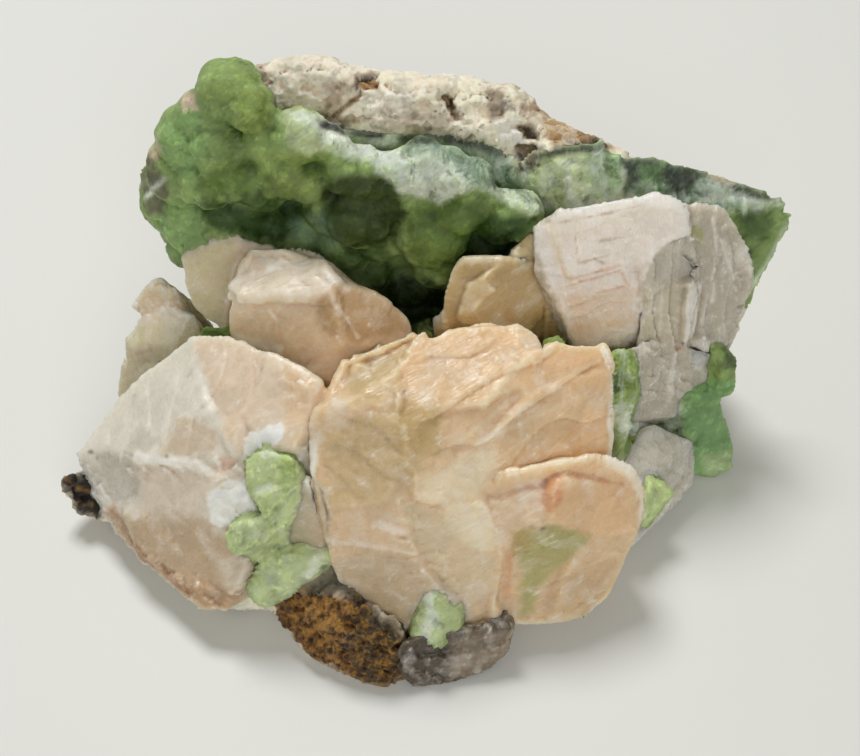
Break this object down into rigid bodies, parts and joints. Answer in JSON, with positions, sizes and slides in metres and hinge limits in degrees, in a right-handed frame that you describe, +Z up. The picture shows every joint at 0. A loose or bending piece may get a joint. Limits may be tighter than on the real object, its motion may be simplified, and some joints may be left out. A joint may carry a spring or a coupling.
{
  "type": "calcite",
  "caption": "Hand specimen of peach and milky calcite crystals on a lumpy green prehnite crust and host rock, with a low foot that it rests on.",
  "frame": {"origin": "middle of the bounding box's underside, on the table", "axes": "+X to the right seen from the crystals' side, +Y to the wall of rock at the back, +Z up"},
  "size_m": [0.1292, 0.0974, 0.0724],
  "materials": {
    "host_rock": "rough broken rock, granular on top and rusty in front",
    "prehnite": "waxy translucent green lumps with white broken edges",
    "calcite": "translucent milky to peach crystal with a satin surface"
  },
  "bodies": {
    "root": {"host_rock": "host_rock", "prehnite_crust": "prehnite", "calcite_front_cluster": "calcite", "calcite_rear_left_cluster": "calcite", "calcite_left_edge_crystals": "calcite", "calcite_middle_crystal": "calcite", "calcite_right_block": "calcite", "calcite_right_foot": "calcite", "calcite_base_piece": "calcite"}
  },
  "joints": []
}
